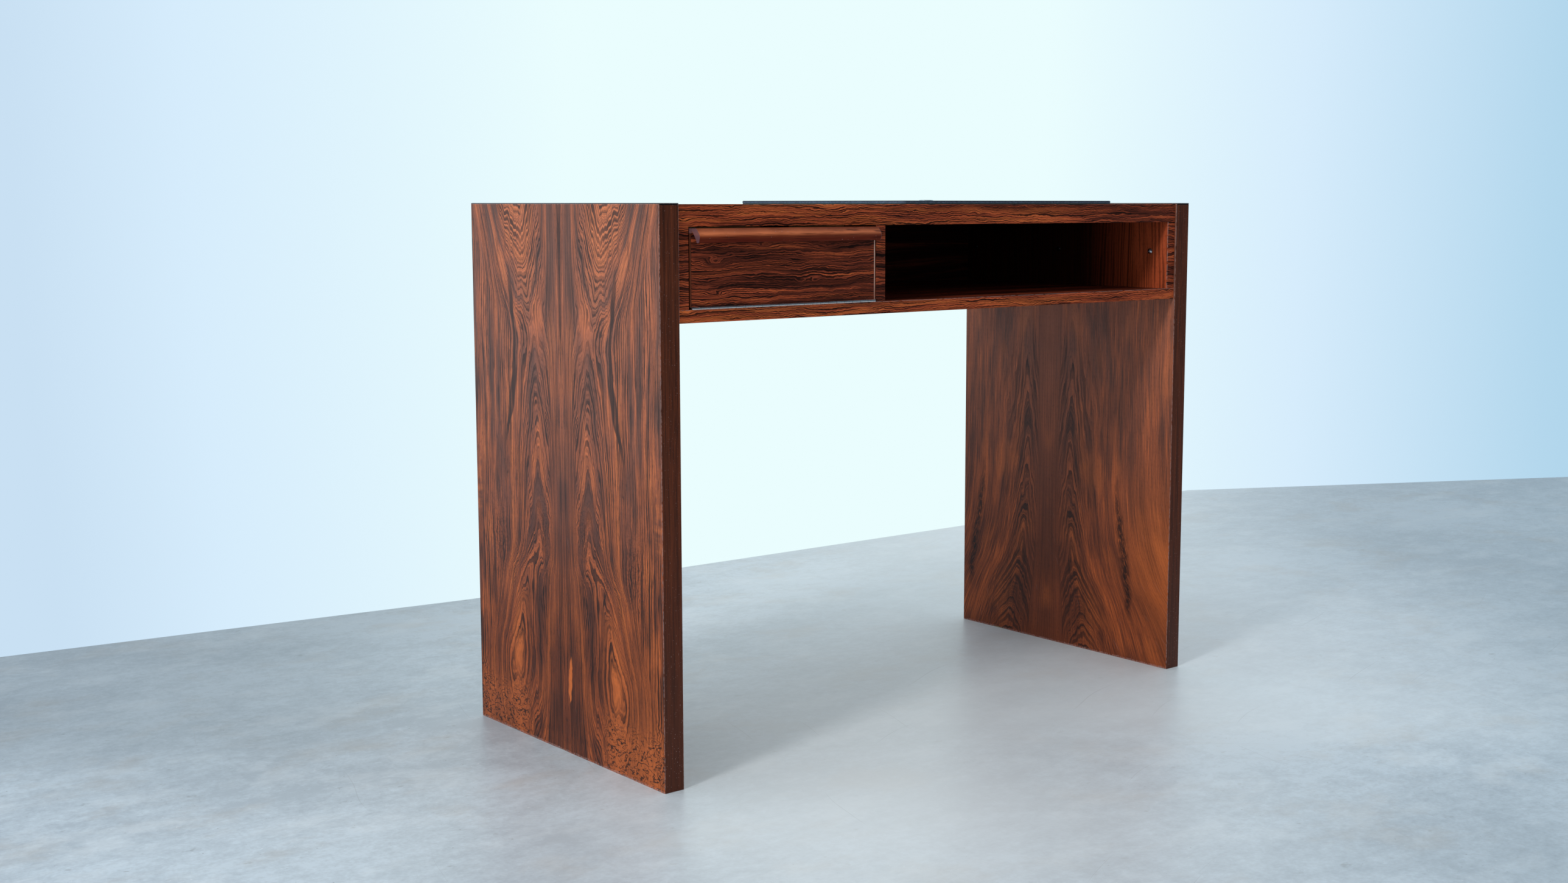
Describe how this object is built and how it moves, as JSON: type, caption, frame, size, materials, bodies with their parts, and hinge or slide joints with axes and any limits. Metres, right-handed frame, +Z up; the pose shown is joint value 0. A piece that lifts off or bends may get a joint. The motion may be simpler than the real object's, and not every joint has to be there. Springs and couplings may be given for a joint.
{
  "type": "jewellers desk",
  "caption": "Narrow free-standing desk on two standing side panels, with a drop flap, an open compartment and a loose leather counter pad on its top.",
  "frame": {"origin": "middle of the desk's footprint on the floor, the flap's pull included", "axes": "+X to the right as seen from the front, +Y to the back, +Z up"},
  "size_m": [1, 0.4794, 0.745],
  "materials": {
    "veneer": "satin lacquer over figured dark veneer",
    "solid_wood": "satin lacquer, plain dark solid wood",
    "pull_wood": "satin lacquer, red-brown solid wood",
    "board_core": "raw board",
    "pale_wood": "raw planed",
    "nickel": "bright nickel plate",
    "steel": "zinc plated",
    "magnet": "matt",
    "dark_plastic": "matt moulded",
    "leather": "smooth black leather",
    "felt": "felt"
  },
  "bodies": {
    "case": {"left_core": "board_core", "left_outer_veneer": "veneer", "left_inner_veneer": "veneer", "left_front_lipping": "solid_wood", "left_back_lipping": "solid_wood", "left_top_lipping": "solid_wood", "right_core": "board_core", "right_outer_veneer": "veneer", "right_inner_veneer": "veneer", "right_front_lipping": "solid_wood", "right_back_lipping": "solid_wood", "right_top_lipping": "solid_wood", "top_board": "veneer", "top_edge_band": "veneer", "bottom_board": "veneer", "bottom_edge_band": "veneer", "left_case_side": "veneer", "left_side_band": "veneer", "divider": "veneer", "divider_band": "veneer", "right_case_side": "veneer", "right_side_band": "veneer", "back_board": "veneer", "case_dowels": "pale_wood", "back_dowels": "pale_wood", "left_fixing_bolts": "nickel", "left_insert_nuts": "steel", "right_fixing_bolts": "nickel", "right_insert_nuts": "steel", "left_stop_rail": "pale_wood", "right_stop_rail": "pale_wood", "stop_rail_screws": "steel", "catch_body": "dark_plastic", "catch_magnet": "magnet", "catch_pole_plates": "steel", "catch_screws": "steel", "hinge_case_leaf": "nickel", "hinge_case_screws": "nickel"},
    "flap": {"flap_panel": "veneer", "flap_left_lipping": "pull_wood", "flap_right_lipping": "pull_wood", "flap_pull": "pull_wood", "pull_dowels": "pale_wood", "strike_plate": "steel", "strike_screws": "steel", "hinge_flap_leaf": "nickel", "hinge_flap_screws": "nickel", "hinge_pin": "nickel"},
    "counter_pad": {"pad_board": "pale_wood", "pad_leather": "leather", "pad_felt": "felt", "pad_knob": "nickel", "pad_washer": "steel"}
  },
  "joints": [
    {"name": "flap_hinge", "type": "hinge", "parent": "case", "child": "flap", "pos_m": [-0.3006, -0.2238, 0.6099], "axis": [1, 0, 0], "range_deg": [0, 180]},
    {"name": "pad_lift", "type": "slide", "parent": "case", "child": "counter_pad", "axis": [0, 0, 1], "range_m": [0, 0.25]}
  ]
}
